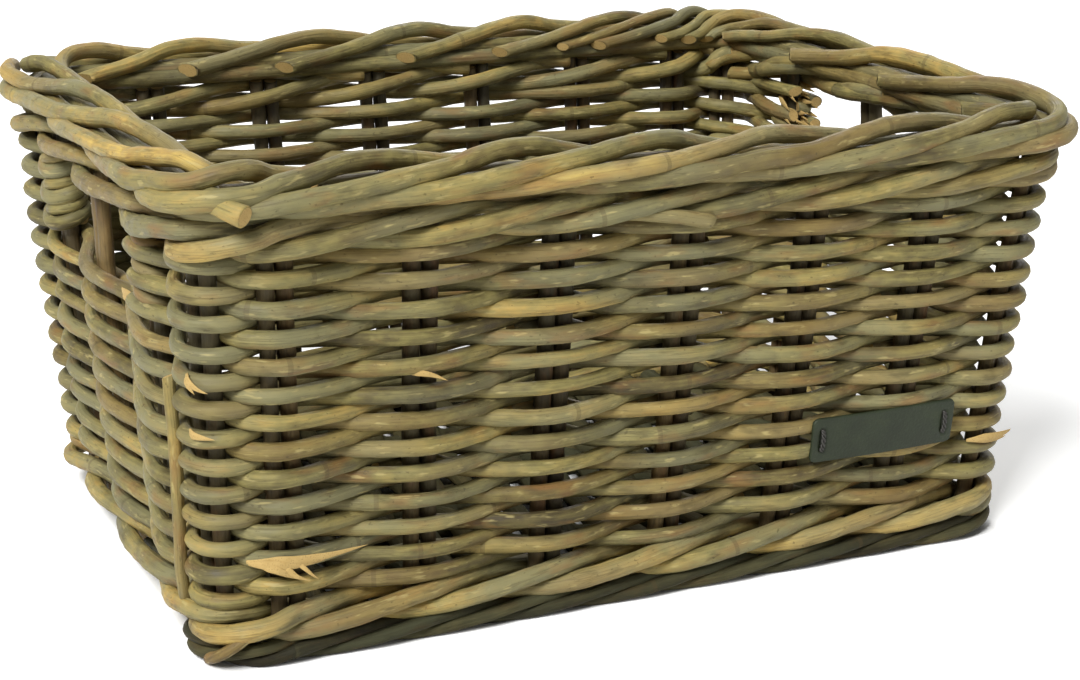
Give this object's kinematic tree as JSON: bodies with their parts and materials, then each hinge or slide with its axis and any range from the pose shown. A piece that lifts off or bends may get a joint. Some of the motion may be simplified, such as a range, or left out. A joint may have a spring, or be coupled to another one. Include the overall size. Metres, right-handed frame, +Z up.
{
  "type": "bicycle crate basket",
  "caption": "Open rectangular crate basket woven from thick rattan rods, with flared walls, a rolled border, finger holds at both ends and a leather label on the front.",
  "frame": {"origin": "on the ground under the middle of the basket", "axes": "+X to the right along the long front wall, +Y to the back, +Z up"},
  "size_m": [0.4608, 0.3656, 0.2338],
  "materials": {
    "stake_rattan": "raw rattan, dark grey brown",
    "weaver_rattan": "raw rattan, grey olive",
    "wale_rattan": "raw rattan, straw",
    "border_rattan": "raw rattan, grey olive",
    "base_rattan": "raw rattan, grey olive",
    "label_leather": "dyed leather, dark grey green",
    "tie_thread": "waxed thread, near black"
  },
  "bodies": {
    "root": {"stake_pair_front_1": "stake_rattan", "stake_pair_front_2": "stake_rattan", "stake_pair_front_3": "stake_rattan", "stake_pair_front_4": "stake_rattan", "stake_pair_front_5": "stake_rattan", "stake_pair_front_6": "stake_rattan", "stake_pair_front_corner": "stake_rattan", "stake_pair_right_1": "stake_rattan", "stake_pair_right_2": "stake_rattan", "stake_pair_right_3": "stake_rattan", "stake_pair_right_corner": "stake_rattan", "stake_pair_back_1": "stake_rattan", "stake_pair_back_2": "stake_rattan", "stake_pair_back_3": "stake_rattan", "stake_pair_back_4": "stake_rattan", "stake_pair_back_5": "stake_rattan", "stake_pair_back_6": "stake_rattan", "stake_pair_back_corner": "stake_rattan", "stake_pair_left_1": "stake_rattan", "stake_pair_left_2": "stake_rattan", "stake_pair_left_3": "stake_rattan", "stake_pair_left_corner": "stake_rattan", "weaver_row_01": "weaver_rattan", "weaver_row_02": "weaver_rattan", "weaver_row_03": "weaver_rattan", "weaver_row_04": "weaver_rattan", "weaver_row_05": "weaver_rattan", "weaver_row_06": "weaver_rattan", "weaver_row_07": "weaver_rattan", "weaver_row_08": "weaver_rattan", "weaver_row_09": "weaver_rattan", "weaver_row_10": "weaver_rattan", "weaver_row_11": "weaver_rattan", "weaver_row_12": "weaver_rattan", "weaver_row_13": "weaver_rattan", "weaver_row_14": "weaver_rattan", "weaver_row_15": "weaver_rattan", "weaver_row_16": "weaver_rattan", "weaver_row_17": "weaver_rattan", "weaver_row_18": "weaver_rattan", "weaver_row_19": "weaver_rattan", "hold_weaver_front": "weaver_rattan", "hold_weaver_back": "weaver_rattan", "bottom_wale": "wale_rattan", "top_wale": "wale_rattan", "rolled_border": "border_rattan", "foot_hoop": "base_rattan", "base_stick_1": "base_rattan", "base_stick_2": "base_rattan", "base_stick_3": "base_rattan", "base_stick_4": "base_rattan", "base_stick_5": "base_rattan", "base_mat": "base_rattan", "label_panel": "label_leather", "label_tie_left": "tie_thread", "label_tie_right": "tie_thread"}
  },
  "joints": []
}
